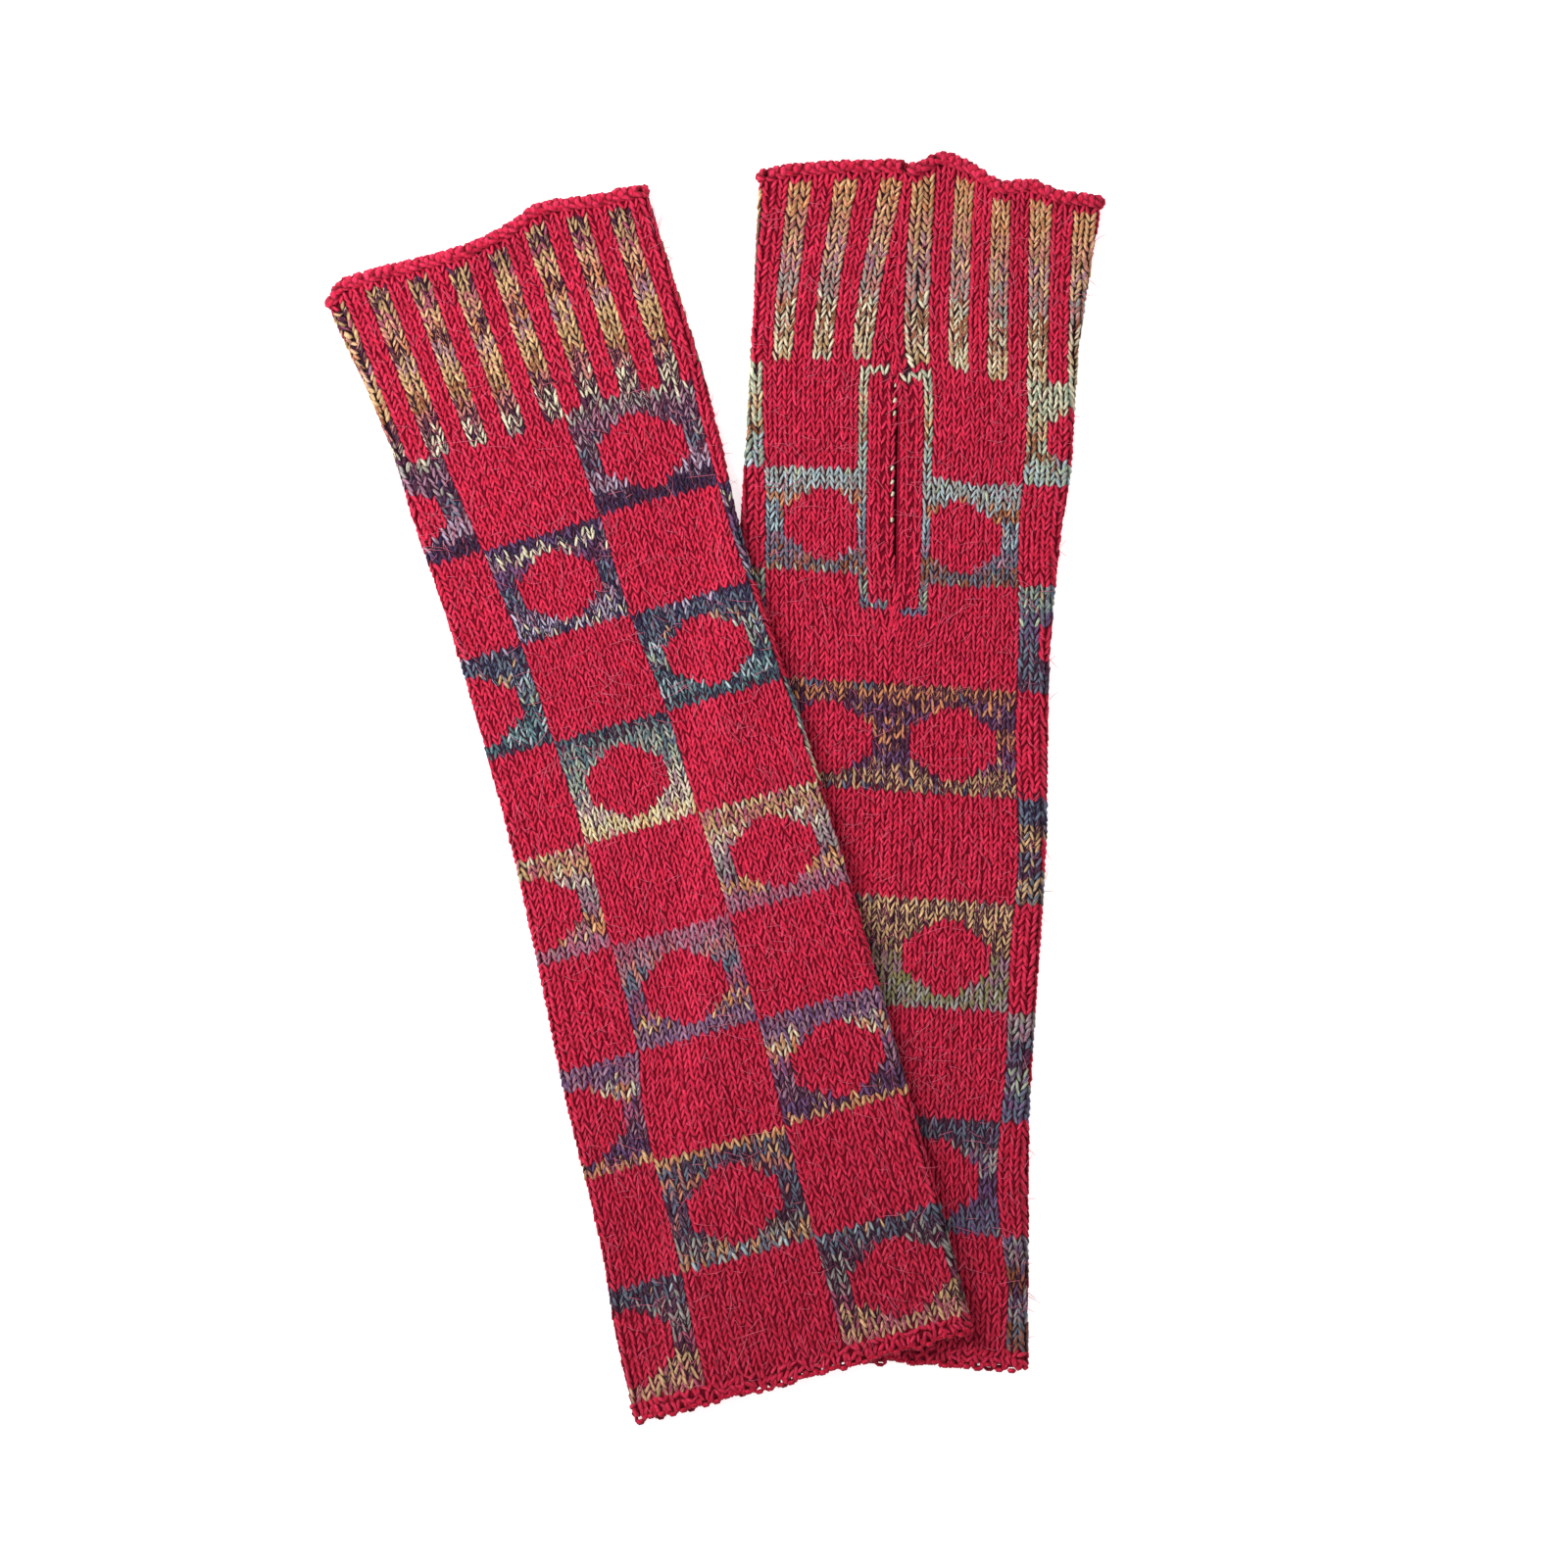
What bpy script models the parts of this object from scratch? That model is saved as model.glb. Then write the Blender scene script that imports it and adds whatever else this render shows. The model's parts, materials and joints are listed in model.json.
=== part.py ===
"""A pair of knitted arm warmers, laid flat, the lower half of one lying on the other.

Each arm warmer is one panel of knitted cloth, folded round into a flat tube and sewn up
the palm, where a stretch of the seam is left open for the thumb. Its top edge curls into
a roll and its lower edge is a narrow plain hem.
"""

import math
from collections import namedtuple

import bpy
import bmesh

COLLECTION = "knitted_arm_warmers"
MM = 0.001

# The cloth
WALL = 1.6 * MM  # thickness of one layer
SEAM_GAP = 0.3 * MM  # clearance between neighbouring pieces and along the palm seam
LAYER_GAP = 0.4 * MM  # air between the two layers of a flat tube
FOLD_SWELL = 0.6 * MM  # how much further apart the layers are beside a fold
SWELL_REACH = 11 * MM  # how far that swelling reaches in from the fold

# The edges
HEM_DEPTH = 6 * MM
ROLL_RADIUS = 1.7 * MM
ROLL_CLEARANCE = 0.9 * MM  # the roll sags towards the wall between its corners
MOUTH_FLARE = 14 * MM  # length over which the layers part to meet the rolled edge

# The arm warmer on top climbs from the surface onto the other one
CLIMB = 4.6 * MM
CLIMB_RUN = 13 * MM  # width of the slope
CLIMB_MARGIN = 1.2 * MM  # it is at its full height this far before the lower one's fold
CLIMB_FOOT = 0.05 * MM  # keeps the curve at the foot of the slope off the surface

# The thumb slit, measured along the arm from the hem
SLIT_LOW = 219 * MM
SLIT_HIGH = 288 * MM
SLIT_GAPE = 1.0 * MM

# How finely the walls are faceted
FACES_PER_LAYER = {"over": 18, "under": 15}
RINGS = {"over": 23, "under": 20}
FOLD_STEPS = 4
ROLL_BEVEL = 1  # six sides round the rolled edge
HEM_RINGS = 3

# Where along its length a warmer's rows begin to follow its uneven top edge
UNEVEN_FROM = 0.55

Station = namedtuple("Station", "along left right seam")  # mm; folds and seam across
Lift = namedtuple("Lift", "across rise")  # mm; how far the top edge stands past its length
Warmer = namedtuple("Warmer", "name length turn place palm_up stations top_edge colour")

OVER = Warmer(
    name="over",
    length=336.0,
    turn=15.4,
    place=(-20.06, -8.19),
    palm_up=False,
    stations=(
        Station(0.0, -48.6, 51.1, 12.0),
        Station(27.7, -47.1, 51.4, 12.5),
        Station(50.2, -44.6, 51.4, 13.0),
        Station(95.4, -43.2, 51.4, 13.5),
        Station(140.6, -40.4, 51.1, 13.5),
        Station(182.0, -38.7, 50.1, 13.5),
        Station(236.6, -39.3, 47.7, 12.0),
        Station(270.0, -41.3, 49.1, 10.0),
        Station(292.0, -42.0, 49.1, 8.0),
        Station(336.0, -47.9, 47.4, 6.0),
    ),
    top_edge=(
        Lift(-48.0, -2.6),
        Lift(-43.0, 1.2),
        Lift(-6.0, 1.4),
        Lift(8.0, 4.2),
        Lift(17.0, 7.4),
        Lift(32.0, 5.6),
        Lift(48.0, 4.6),
    ),
    colour=(0.50, 0.012, 0.038),
)

UNDER = Warmer(
    name="under",
    length=336.0,
    turn=-3.5,
    place=(51.74, 2.31),
    palm_up=True,
    stations=(
        Station(0.0, -48.6, 48.1, 1.5),
        Station(35.0, -47.6, 46.2, 1.2),
        Station(80.0, -47.2, 43.9, 0.8),
        Station(150.0, -46.9, 44.2, -0.6),
        Station(206.0, -47.2, 41.9, -2.6),
        Station(239.0, -48.0, 42.9, -4.4),
        Station(262.0, -48.0, 44.7, -5.6),
        Station(296.0, -48.2, 44.8, -6.6),
        Station(336.0, -48.6, 48.6, -4.7),
    ),
    top_edge=(
        Lift(-48.6, 2.0),
        Lift(-36.0, 4.8),
        Lift(-11.0, 7.2),
        Lift(-4.6, 6.4),
        Lift(2.2, 10.0),
        Lift(9.5, 8.4),
        Lift(20.2, 2.9),
        Lift(28.6, 4.0),
        Lift(37.3, 1.4),
        Lift(48.6, 0.6),
    ),
    colour=(0.44, 0.010, 0.034),
)


def smooth(share):
    """Eases from 0 to 1."""
    share = min(max(share, 0.0), 1.0)
    return share * share * (3 - 2 * share)


def read(table, column, at):
    """The table's column at a place along its first column, on a smooth curve."""
    keys = [row[0] for row in table]
    values = [getattr(row, column) for row in table]
    if at <= keys[0]:
        return values[0]
    if at >= keys[-1]:
        return values[-1]
    i = max(k for k in range(len(keys) - 1) if keys[k] <= at)
    step = keys[i + 1] - keys[i]
    share = (at - keys[i]) / step

    def slope(k):
        low, high = max(k - 1, 0), min(k + 1, len(keys) - 1)
        return (values[high] - values[low]) / (keys[high] - keys[low]) * step

    a, b, t = slope(i), slope(i + 1), share
    return (
        values[i] * (2 * t**3 - 3 * t**2 + 1)
        + a * (t**3 - 2 * t**2 + t)
        + values[i + 1] * (3 * t**2 - 2 * t**3)
        + b * (t**3 - t**2)
    )


def to_world(warmer, across, along):
    """A warmer's own place across and along, in metres, as X and Y."""
    turn = math.radians(warmer.turn)
    x = across
    y = along - warmer.length * MM / 2
    return (
        warmer.place[0] * MM + x * math.cos(turn) - y * math.sin(turn),
        warmer.place[1] * MM + x * math.sin(turn) + y * math.cos(turn),
    )


def to_own(warmer, x, y):
    """The reverse of to_world."""
    turn = math.radians(warmer.turn)
    dx = x - warmer.place[0] * MM
    dy = y - warmer.place[1] * MM
    across = dx * math.cos(turn) + dy * math.sin(turn)
    along = dy * math.cos(turn) - dx * math.sin(turn)
    return across, along + warmer.length * MM / 2


def climb(warmer, x, y):
    """How high the upper warmer's cloth is lifted at X and Y by the one below it."""
    if warmer is UNDER:
        return 0.0
    across, along = to_own(UNDER, x, y)
    past_fold = across - read(UNDER.stations, "left", along / MM) * MM
    share = smooth((past_fold + CLIMB_MARGIN + CLIMB_RUN) / CLIMB_RUN)
    return CLIMB_FOOT + CLIMB * share


def layer_gap(warmer, across, along):
    """Distance between the middles of the two layers."""
    left = read(warmer.stations, "left", along / MM) * MM
    right = read(warmer.stations, "right", along / MM) * MM
    inward = min(across - left, right - across)
    swell = FOLD_SWELL * (1 - smooth(inward / SWELL_REACH))
    closed = WALL + LAYER_GAP + swell
    return closed + (2 * ROLL_RADIUS + SEAM_GAP - closed) * flare(warmer, along)


def flare(warmer, along):
    """Goes from 0 to 1 towards the mouth at the top."""
    return smooth((along - warmer.length * MM + MOUTH_FLARE) / MOUTH_FLARE)


def base_height(warmer, along):
    """Height of the lower layer's middle above what it rests on."""
    return WALL / 2 + (ROLL_RADIUS - WALL / 2) * flare(warmer, along)


def stretched(warmer, across, along):
    """Moves a place along the arm so that the last rows follow the uneven top edge."""
    top = read(warmer.top_edge, "rise", across / MM) * MM
    share = (along / (warmer.length * MM) - UNEVEN_FROM) / (1 - UNEVEN_FROM)
    return along + top * smooth(share)


def fold_arc(warmer, along, side):
    """The half circle of a fold, from the palm layer to the back one."""
    edge = read(warmer.stations, "right" if side > 0 else "left", along / MM) * MM
    radius = layer_gap(warmer, edge, along) / 2
    angles = [math.pi * step / FOLD_STEPS for step in range(FOLD_STEPS + 1)]
    return [
        (edge - side * radius * (1 - math.sin(angle)), radius * (1 - math.cos(angle)))
        for angle in angles
    ]


def seam_gap(along):
    """The palm seam is a hairline, and the thumb slit gapes a little in its middle."""
    share = (along - SLIT_LOW) / (SLIT_HIGH - SLIT_LOW)
    gape = SLIT_GAPE * math.sin(math.pi * share) if 0 < share < 1 else 0.0
    return SEAM_GAP + gape


def section(warmer, along, seamed=True):
    """The cloth's middle line round the tube, as pairs of place across and height.

    It runs from the palm seam by way of the right fold, the back and the left fold.
    """
    count = FACES_PER_LAYER[warmer.name]
    seam = read(warmer.stations, "seam", along / MM) * MM
    half_gap = seam_gap(along) / 2 if seamed else 0.0
    right_arc = fold_arc(warmer, along, 1)
    left_arc = fold_arc(warmer, along, -1)[::-1]
    right, left = right_arc[0][0], left_arc[-1][0]
    right_steps = round(count * (right - seam) / (right - left))
    palm_right = spread(seam + half_gap, right, right_steps + 1)[:-1]
    back = spread(right, left, count + 1)[1:-1]
    palm_left = spread(left, seam - half_gap, count - right_steps + 1)[1:]
    if not seamed:
        palm_left = palm_left[:-1]
    line = [(across, 0.0) for across in palm_right]
    line += right_arc
    line += [(across, layer_gap(warmer, across, along)) for across in back]
    line += left_arc
    line += [(across, 0.0) for across in palm_left]
    if warmer.palm_up:
        line = [(x, max(layer_gap(warmer, x, along) - level, 0.0)) for x, level in line]
    return line


def ring(warmer, along, seamed=True):
    """One section as points in the world."""
    points = []
    for across, level in section(warmer, along, seamed):
        x, y = to_world(warmer, across, stretched(warmer, across, along))
        z = base_height(warmer, along) + level + climb(warmer, x, y)
        points.append((x, y, z))
    return points


def new_object(name, data, warmer):
    material = bpy.data.materials.new(name + "_yarn")
    material.use_nodes = True
    shader = material.node_tree.nodes["Principled BSDF"]
    shader.inputs["Base Color"].default_value = (*warmer.colour, 1.0)
    shader.inputs["Roughness"].default_value = 0.95
    shader.inputs["Metallic"].default_value = 0.0
    data.materials.append(material)
    made = bpy.data.objects.new(name, data)
    bpy.data.collections[COLLECTION].objects.link(made)
    return made


def walled_loft(name, warmer, rings, closed):
    """Cloth through a row of sections, given its thickness by Solidify."""
    shape = bmesh.new()
    rows = [[shape.verts.new(point) for point in points] for points in rings]
    count = len(rows[0])
    for low, high in zip(rows, rows[1:]):
        for i in range(count if closed else count - 1):
            j = (i + 1) % count
            shape.faces.new((low[i], low[j], high[j], high[i]))
    bmesh.ops.triangulate(shape, faces=shape.faces[:])
    mesh = bpy.data.meshes.new(name)
    shape.to_mesh(mesh)
    shape.free()
    mesh.shade_smooth()
    made = new_object(name, mesh, warmer)
    wall = made.modifiers.new("cloth_thickness", "SOLIDIFY")
    wall.thickness = WALL
    wall.offset = 0.0
    wall.use_even_offset = True
    wall.use_quality_normals = True
    return made


def spread(first, last, count):
    return [first + (last - first) * step / (count - 1) for step in range(count)]


def make_body(warmer):
    """The knitted panel, from above the hem to below the rolled edge."""
    top = warmer.length * MM - ROLL_CLEARANCE
    places = spread(HEM_DEPTH + SEAM_GAP, top, RINGS[warmer.name])
    rings = [ring(warmer, along) for along in places]
    return walled_loft(warmer.name + "_body", warmer, rings, closed=False)


def make_hem(warmer):
    """The plain band round the lower edge, in one ring."""
    places = spread(0.0, HEM_DEPTH, HEM_RINGS)
    rings = [ring(warmer, along, seamed=False) for along in places]
    return walled_loft(warmer.name + "_hem", warmer, rings, closed=True)


def make_top_roll(warmer):
    """The edge that curls into a roll, all round the mouth."""
    line = ring(warmer, warmer.length * MM + ROLL_RADIUS, seamed=False)
    curve = bpy.data.curves.new(warmer.name + "_top_roll", "CURVE")
    curve.dimensions = "3D"
    curve.bevel_depth = ROLL_RADIUS
    curve.bevel_resolution = ROLL_BEVEL
    spline = curve.splines.new("POLY")
    spline.points.add(len(line) - 1)
    for point, place in zip(spline.points, line):
        point.co = (*place, 1.0)
    spline.use_cyclic_u = True
    return new_object(warmer.name + "_top_roll", curve, warmer)


def main():
    for old in list(bpy.data.objects):
        bpy.data.objects.remove(old, do_unlink=True)
    collection = bpy.data.collections.new(COLLECTION)
    bpy.context.scene.collection.children.link(collection)
    for warmer in (UNDER, OVER):
        make_body(warmer)
        make_hem(warmer)
        make_top_roll(warmer)


main()
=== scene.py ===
"""A pair of knitted arm warmers laid flat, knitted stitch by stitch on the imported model.

Every stitch is a V of two plump strands of yarn, laid along the rows and wales of each
tube. Two yarns are used: a plain red one, and a marled one of two plies whose colours
change every few rows.
"""

import functools
import json
import math

import bpy
import numpy as np
from bpy.props import FloatProperty, FloatVectorProperty, IntProperty, PointerProperty
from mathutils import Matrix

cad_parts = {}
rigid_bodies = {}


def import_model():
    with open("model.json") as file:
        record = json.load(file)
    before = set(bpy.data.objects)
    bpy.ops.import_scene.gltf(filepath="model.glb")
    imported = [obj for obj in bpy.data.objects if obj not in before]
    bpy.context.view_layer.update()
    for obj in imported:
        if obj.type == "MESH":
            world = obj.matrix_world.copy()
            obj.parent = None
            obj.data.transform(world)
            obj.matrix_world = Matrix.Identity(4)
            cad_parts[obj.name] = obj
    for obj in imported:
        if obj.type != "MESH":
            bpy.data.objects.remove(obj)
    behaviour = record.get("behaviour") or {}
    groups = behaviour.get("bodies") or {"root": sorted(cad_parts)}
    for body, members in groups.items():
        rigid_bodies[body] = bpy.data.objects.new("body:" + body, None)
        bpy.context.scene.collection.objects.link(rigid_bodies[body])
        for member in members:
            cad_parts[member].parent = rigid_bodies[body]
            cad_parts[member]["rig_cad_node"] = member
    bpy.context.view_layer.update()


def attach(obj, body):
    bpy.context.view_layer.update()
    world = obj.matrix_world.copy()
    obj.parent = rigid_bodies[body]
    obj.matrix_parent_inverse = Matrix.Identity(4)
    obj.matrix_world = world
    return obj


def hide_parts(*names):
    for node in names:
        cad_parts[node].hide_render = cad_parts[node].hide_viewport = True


bl_info = {
    "name": "Knitted Arm Warmers",
    "version": (1, 0, 0),
    "blender": (4, 5, 0),
    "location": "View3D > Sidebar > Knitting",
    "description": "Knits a pair of arm warmers stitch by stitch round their plain solids",
    "category": "Object",
}

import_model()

MM = 0.001
BODY = "root"
REST_HEIGHT = 0.03 * MM  # strands on the underside are pressed flat on the surface

# The form of the cloth, in mm. It is the plain solids' own, except that the rows near the
# mouth and the edges of the thumb slit lie less evenly here than there.
LENGTH = 336.0
WALL = 1.6
LAYER_GAP = 0.4
FOLD_SWELL = 0.6  # how much further apart the two layers stand at a fold
SWELL_REACH = 11.0
FOLD_BULGE = 0.57  # unrolled, a fold reaches this share of its radius past its edge
ROLL_RADIUS = 1.7
SEAM_GAP = 0.3
MOUTH_FLARE = 14.0  # the layers part over this length to make room for the roll
CLIMB = 4.6  # height of the upper warmer where it lies on the lower one
CLIMB_RUN = 13.0
CLIMB_MARGIN = 1.2
CLIMB_FOOT = 0.05
UNEVEN_FROM = 0.66  # how far up the arm the rows start to follow the uneven top
SLIT_LOW = 219.0
SLIT_HIGH = 288.0
SLIT_GAPE = 1.3
SLIT_EVEN = 1.8  # above 1 the slit keeps its full gape over most of its length
LAP_FROM = 268.0  # above this the right half of the palm laps over the left one
LAP_RUN = 25.0
LAP_WIDTH = 9.0
LAP_OVER = 1.6
LAP_RISE = 1.4
SLIT_LIFT = 1.5  # how much higher the rows beside the slit lie than on the other warmer
LIFT_ON = (195.0, 30.0)  # where that lift starts, and over what length it grows
LIFT_OFF = (300.0, 34.0)
HALF_DROP = 1.7  # how much lower the right half of the palm lies beside the slit
HALF_FADE = (8.0, 12.0)  # the wale from which that drop fades, and over how many
TOP_ROW = 1.86  # height of a row past the last one in the chart
HEM_ROW = 2.05

# The knitting chart: 67 wales round, of which the first and last are in the seam
WALES = 67
COLUMN_WALES = 13
BLOCK_ROWS = 16
HEM_ROWS = 3
BLOCKS = 9
STRIPE_ROWS = 28
CHECK_TOP = HEM_ROWS + BLOCKS * BLOCK_ROWS
ROWS = CHECK_TOP + STRIPE_ROWS
SPOT_WIDTHS = (3, 5, 7, 9, 9, 9, 9, 9, 7, 5, 3)
SPOT_FIRST_ROW = 2
STRIPE_REPEAT = 4
STRIPE_WALES = (2, 64)
SLIT_ROWS = (111, 149)
BAND_WALES = 3  # plain wales on each side of the thumb slit

# The stitches
STITCH_SINK = (0.10 * MM, 0.55 * MM)  # how far a strand's lower and upper tips tuck in
STITCH_TILT = 0.24 * MM  # how much prouder a strand's lower half stands than its upper
STITCH_OUT = 0.44  # mm from the middle of the wall to the middle of a strand
STRIPE_OUT = 0.16  # the stripes stand prouder by this, as shallow ribs
STRAND_APART = 0.225  # wales from the middle of a stitch to each of its strands
STRAND_LEAN = 0.23  # wales by which a strand leans over the height of a row
HEM_LEAN = 0.75  # the usual lean either way in the matted rows
USUAL_WALE = 2.75 * MM
TUCK = 0.4  # how much of a wale still shows where the seam takes it up
MARL_DRIFT = 0.8  # rows by which a ply's colour strays
MARL_SOLID = 0.1  # share of marled strands that show one ply only
MARL_TONE = (0.94, 0.12)  # usual brightness of a marled strand, and its spread
RED_TONE = (1.0, 0.08)
OPEN_LOOPS = 0.45  # share of cast-on loops that stand open round a pinhole
BLIP_SHARE = 0.7  # share of the places beside the slit where the marled yarn peeps out
BLIP_FROM_ROW = 122
PAINTED_LOW_SHADE = 0.2  # painted shade: how much darker the yarn is painted in the rows at the lower edge
PAINTED_SHADE_ROWS = 70
GROUND_OUT = (0.28, -0.45)  # mm from the middle of the wall to the ground's two faces
GROUND_CELLS = (90, 100)  # its points along and round each warmer
HAIR_OUT = 1.05
HAIR_RADIUS = 0.08 * MM
HAIR_LOWEST = 0.16 * MM
HAIR_RISE = 0.3 * MM

# The seeds of the random draws, for the lower warmer; the upper one's follow
STITCH_SEED, ROLL_SEED, HEM_SEED, HAIR_SEED = 7, 300, 400, 500

# The stage, in metres
LAMP_PLACE = (-0.40, 0.22, 0.42)
LAMP_WIDTH = 0.5
LENS, SENSOR = 100.0, 36.0
VIEW_CENTRE = (0.0199, 0.0015)
VIEW_WIDTH = 0.4517  # what the camera takes in at the height of the cloth
CLOTH_HEIGHT = 0.006

# Where the rows of each check end, in mm along the arm from the lower edge
ROW_LINES = (
    (0, 0.0), (3, 6.2), (19, 39.0), (35, 72.0), (51, 103.6), (67, 134.9),
    (83, 165.4), (99, 196.2), (115, 225.8), (131, 254.6), (147, 284.0), (175, 336.0),
)

# Yarn colours as they look dyed
YARN = {
    "red": "BC1A3A",
    "red_light": "CE2B4E",
    "red_deep": "940C28",
    "ochre": "B8946A",
    "gold": "CBA578",
    "cream": "CBC2A6",
    "yellow": "CDB684",
    "orange": "C07E56",
    "salmon": "BA766C",
    "rose": "A84E68",
    "mauve": "966E80",
    "lilac": "A79CB2",
    "violet": "644870",
    "plum": "46203A",
    "navy": "262240",
    "slate": "5C6878",
    "sky": "9DB0B4",
    "teal": "4A6C70",
    "sage": "9CA890",
    "olive": "7E784C",
    "grey": "94908A",
    "brown": "8C5034",
}

# The marled yarn from the top row down: rows, first ply, second ply
MARL = {
    "over": """
        4 ochre plum, 2 rose ochre, 3 gold salmon, 3 orange plum, 3 gold mauve,
        3 ochre gold, 3 ochre brown, 3 salmon plum, 4 cream plum, 2 plum grey,
        2 plum mauve, 2 navy mauve, 1 grey plum, 2 slate plum, 2 plum mauve,
        2 lilac mauve, 3 navy plum, 2 navy violet, 1 cream cream, 1 mauve navy,
        3 plum violet, 3 navy slate, 2 mauve navy, 2 lilac navy, 1 cream navy,
        1 lilac navy, 4 navy slate, 1 ochre slate, 2 navy sky, 2 sage slate,
        3 navy teal, 2 teal sky, 2 teal navy, 2 teal plum, 2 teal grey, 3 sage slate,
        3 cream slate, 3 cream mauve, 3 cream yellow, 2 ochre rose, 2 salmon ochre,
        3 cream mauve, 3 grey mauve, 1 mauve plum, 2 orange gold, 3 mauve rose,
        3 mauve rose, 2 salmon mauve, 3 mauve slate, 3 violet rose, 1 orange violet,
        1 yellow orange, 3 violet mauve, 4 violet mauve, 2 orange cream, 3 violet rose,
        3 plum mauve, 3 plum violet, 1 orange gold, 1 orange gold, 3 plum slate,
        1 orange salmon, 3 slate plum, 1 salmon plum, 3 slate plum, 2 grey plum,
        1 gold orange, 1 sky slate, 3 slate plum, 2 grey plum, 3 plum grey,
        3 rose plum, 2 gold plum, 3 gold rose
    """,
    "under": """
        6 gold orange, 4 ochre salmon, 4 gold mauve, 5 salmon grey, 5 cream brown,
        4 cream ochre, 5 sage cream, 4 sage gold, 3 brown sage, 4 sage sky, 4 sky grey,
        2 orange brown, 4 slate sky, 3 slate mauve, 3 brown slate, 4 slate sage,
        4 violet slate, 4 slate plum, 4 plum slate, 3 plum orange, 3 violet plum,
        3 orange plum, 3 plum violet, 4 ochre plum, 4 slate navy, 4 ochre plum,
        4 plum slate, 4 ochre slate, 4 gold plum, 4 ochre plum, 4 olive mauve,
        4 grey olive, 4 grey mauve, 4 slate plum, 4 sage violet, 4 violet slate,
        4 plum slate, 4 violet grey, 4 plum violet, 4 violet slate, 4 violet grey,
        4 plum brown, 4 grey violet, 4 brown slate
    """,
}

# Each warmer: its left fold, right fold and seam in mm across at places along it, its
# uneven top edge, and which wale lies where. The folds' wales and the first and last wales
# at the seam change along it too. A wale line is (wale, ((along, across), ...)).
LEFT, RIGHT, SEAM = 1, 2, 3
FIRST, LAST = 1, 2
WARMERS = {
    "over": {
        "turn": 15.4,
        "place": (-20.06, -8.19),
        "palm_up": False,
        "sections": (
            (0, -48.6, 51.1, 12.0), (27.7, -47.1, 51.4, 12.5), (50.2, -44.6, 51.4, 13.0),
            (95.4, -43.2, 51.4, 13.5), (140.6, -40.4, 51.1, 13.5), (182, -38.7, 50.1, 13.5),
            (236.6, -39.3, 47.7, 12.0), (270, -41.3, 49.1, 10.0), (292, -42.0, 49.1, 8.0),
            (336, -47.9, 47.4, 6.0),
        ),
        "top": (
            (-48, -2.6), (-43, 1.2), (-6, 1.4), (8, 4.2), (17, 7.4), (32, 5.6), (48, 4.6),
        ),
        "fold_low": (
            (0, 20.0), (39, 19.7), (104, 19.6), (169, 19.5), (225, 20.6),
            (254, 21.5), (286, 22.9), (336, 22.6),
        ),
        "fold_high": (
            (0, 51.6), (39, 51.8), (104, 52.4), (169, 53.4), (225, 53.7),
            (270, 54.4), (286, 54.1), (336, 54.0),
        ),
        "seam_wales": (
            (0, 0.0, 67.0), (336, 0.0, 67.0),
        ),
        "back_lines": (
            (27, (
                (8, -26.3), (28, -25.4), (39, -24.6), (56, -24.1), (73, -24.0),
                (90, -22.6), (104, -19.8), (141, -19.2), (169, -18.6), (197, -19.8),
                (225, -21.2), (254, -24.8), (286, -29.2), (336, -34.5),
            )),
            (40, (
                (8, 14.7), (28, 15.0), (73, 15.2), (90, 15.8), (141, 15.8),
                (169, 15.0), (197, 14.1), (225, 11.3), (254, 10.4), (286, 8.0),
                (336, 5.0),
            )),
        ),
        "palm_lines": (),
        "seen_wales": (18, 56),
    },
    "under": {
        "turn": -3.5,
        "place": (51.74, 2.31),
        "palm_up": True,
        "sections": (
            (0, -48.6, 48.1, 1.5), (35, -47.6, 46.2, 1.2), (80, -47.2, 43.9, 0.8),
            (150, -46.9, 44.2, -0.6), (206, -47.2, 41.9, -2.6), (239, -48.0, 42.9, -4.4),
            (262, -48.0, 44.7, -5.6), (296, -48.2, 44.8, -6.6), (336, -48.6, 48.6, -4.7),
        ),
        "top": (
            (-48.6, 2.0), (-36, 4.8), (-11, 7.2), (-4.6, 6.4), (2.2, 10.0),
            (9.5, 8.4), (20.2, 2.9), (28.6, 4.0), (37.3, 1.4), (48.6, 0.6),
        ),
        "fold_low": (
            (0, 15.6), (55, 16.8), (88, 16.3), (150, 16.5), (211, 17.1),
            (240, 18.0), (290, 18.9), (336, 20.5),
        ),
        "fold_high": (
            (0, 50.2), (150, 49.7), (240, 50.9), (288, 52.0), (336, 51.6),
        ),
        "seam_wales": (
            (0, 1.0, 66.0), (205, 1.0, 66.0), (219, 0.3, 66.7), (275, 0.3, 66.7),
            (292, 1.0, 66.4), (336, 1.7, 64.9),
        ),
        "back_lines": (),
        "palm_lines": (
            (14, (
                (22, 42.1), (55, 36.7), (88, 37.2), (119, 36.4), (150, 37.1),
                (181, 34.3), (211, 33.4), (240, 31.6), (269, 32.0), (288, 31.0),
                (336, 28.6),
            )),
            (53, (
                (20, -40.0), (150, -37.5), (240, -41.7), (288, -45.5), (336, -44.1),
            )),
        ),
        "seen_wales": (49, 22),
    },
}


def linear(code):
    """An sRGB hex colour as linear RGB."""
    parts = np.array([int(code[i:i + 2], 16) / 255 for i in (0, 2, 4)])
    return np.where(parts <= 0.04045, parts / 12.92, ((parts + 0.055) / 1.055) ** 2.4)


YARN_LIGHT = {key: linear(code) for key, code in YARN.items()}
CROWN_REDS = (("red", "red_light"), ("red", "red_deep"))
HEM_REDS = (("red", "red_deep"), ("red_deep", "red"))


def smooth(share):
    """Eases a share of 0 to 1 in and out."""
    share = np.clip(share, 0.0, 1.0)
    return share * share * (3 - 2 * share)


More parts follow.
